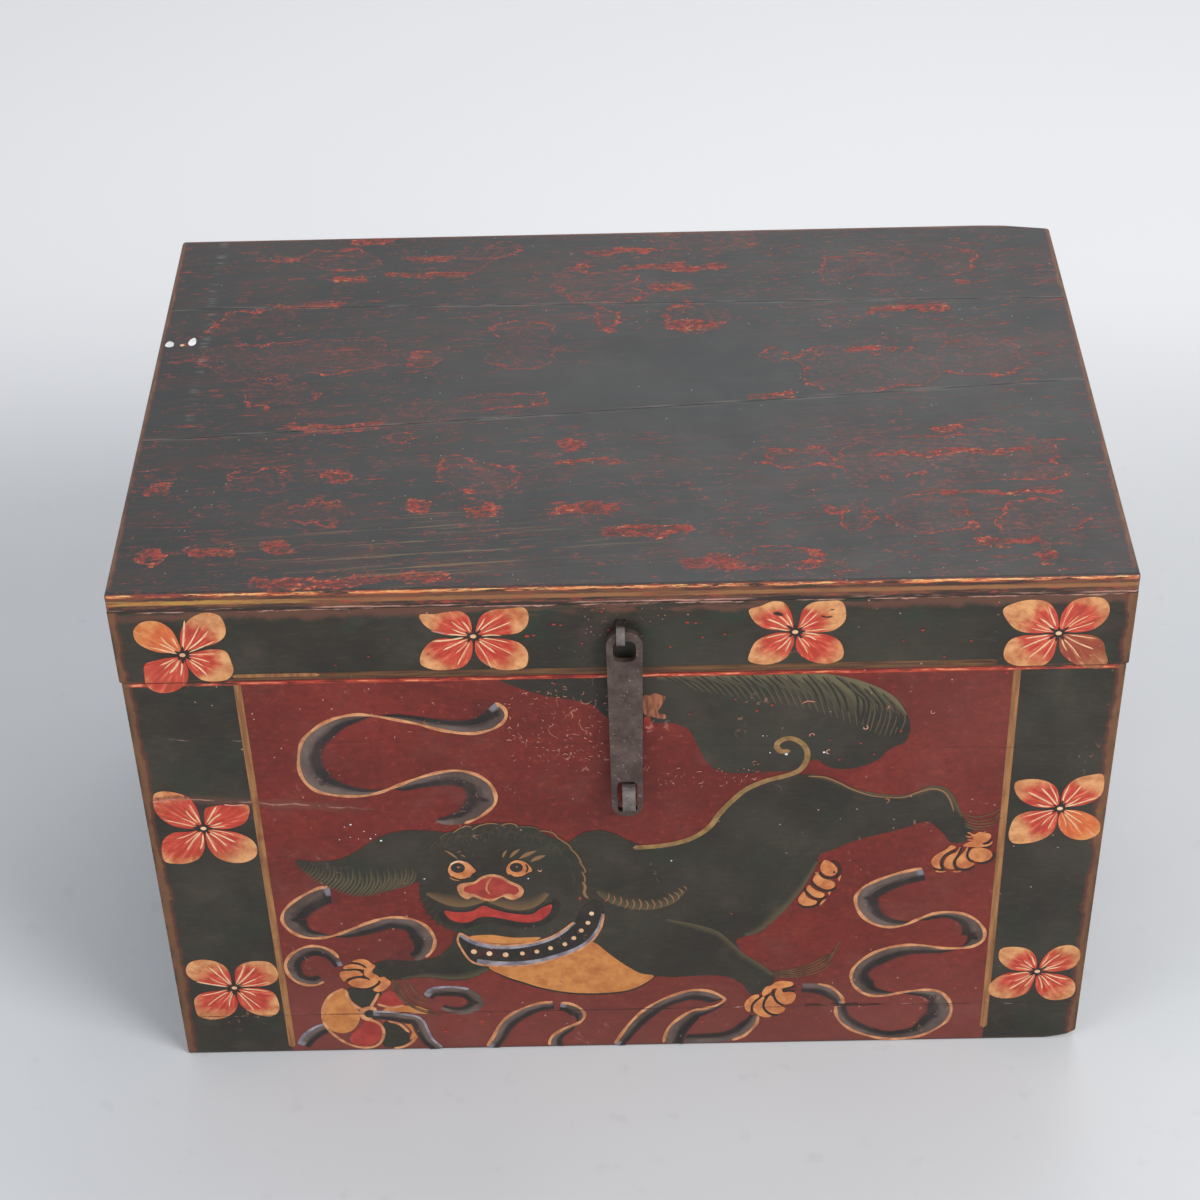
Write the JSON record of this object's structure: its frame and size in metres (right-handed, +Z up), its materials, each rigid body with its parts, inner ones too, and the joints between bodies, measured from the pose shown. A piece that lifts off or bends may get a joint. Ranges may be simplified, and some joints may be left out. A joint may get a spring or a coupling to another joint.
{
  "type": "painted trunk",
  "caption": "Plank trunk with a lift-up lid on wire loop hinges, a forged hasp over a lock staple, and a traditional guardian lion painted on its red front.",
  "frame": {"origin": "on the floor under the middle of the trunk", "axes": "+X to the right along the painted front, +Y to the back, +Z up"},
  "size_m": [0.6, 0.4193, 0.4],
  "materials": {
    "red_paint": "worn brick-red paint with a figure on it",
    "black_paint": "worn black-green paint",
    "lid_lacquer": "worn black lacquer over red",
    "bare_wood": "bare aged wood",
    "iron": "forged, pitted and rubbed"
  },
  "bodies": {
    "trunk": {"front_upper_plank": "red_paint", "front_middle_plank": "red_paint", "front_lower_plank": "red_paint", "back_upper_plank": "bare_wood", "back_lower_plank": "bare_wood", "left_upper_plank": "black_paint", "left_lower_plank": "black_paint", "right_upper_plank": "black_paint", "right_lower_plank": "black_paint", "floor_front_plank": "bare_wood", "floor_middle_plank": "bare_wood", "floor_back_plank": "bare_wood", "lock_staple": "iron", "hinge_staple_left": "iron", "hinge_staple_right": "iron", "front_left_nail_1": "iron", "front_left_nail_2": "iron", "front_left_nail_3": "iron", "front_left_nail_4": "iron", "front_right_nail_1": "iron", "front_right_nail_2": "iron", "front_right_nail_3": "iron", "front_right_nail_4": "iron", "back_left_nail_1": "iron", "back_left_nail_2": "iron", "back_left_nail_3": "iron", "back_right_nail_1": "iron", "back_right_nail_2": "iron", "back_right_nail_3": "iron"},
    "lid": {"lid_front_rail": "black_paint", "lid_left_rail": "black_paint", "lid_right_rail": "black_paint", "lid_back_rail": "bare_wood", "lid_front_plank": "lid_lacquer", "lid_middle_plank": "lid_lacquer", "lid_back_plank": "lid_lacquer", "hasp_staple": "iron", "hinge_pin_left": "iron", "hinge_pin_right": "iron", "lid_front_left_nail_1": "iron", "lid_front_left_nail_2": "iron", "lid_front_right_nail_1": "iron", "lid_front_right_nail_2": "iron", "lid_back_left_nail_1": "iron", "lid_back_left_nail_2": "iron", "lid_back_right_nail_1": "iron", "lid_back_right_nail_2": "iron", "top_front_left_nail": "iron", "top_front_right_nail": "iron", "top_middle_left_nail": "iron", "top_middle_right_nail": "iron", "top_back_left_nail": "iron", "top_back_right_nail": "iron", "top_front_edge_left_nail": "iron", "top_front_edge_right_nail": "iron", "top_back_edge_left_nail": "iron", "top_back_edge_right_nail": "iron"},
    "hasp": {"hasp": "iron"}
  },
  "joints": [
    {"name": "lid_hinge", "type": "hinge", "parent": "trunk", "child": "lid", "pos_m": [0, 0.202, 0.332], "axis": [-1, 0, 0], "range_deg": [0, 105]},
    {"name": "hasp_swing", "type": "hinge", "parent": "lid", "child": "hasp", "pos_m": [0.001, -0.2005, 0.3675], "axis": [-1, 0, 0], "range_deg": [0, 170]}
  ]
}
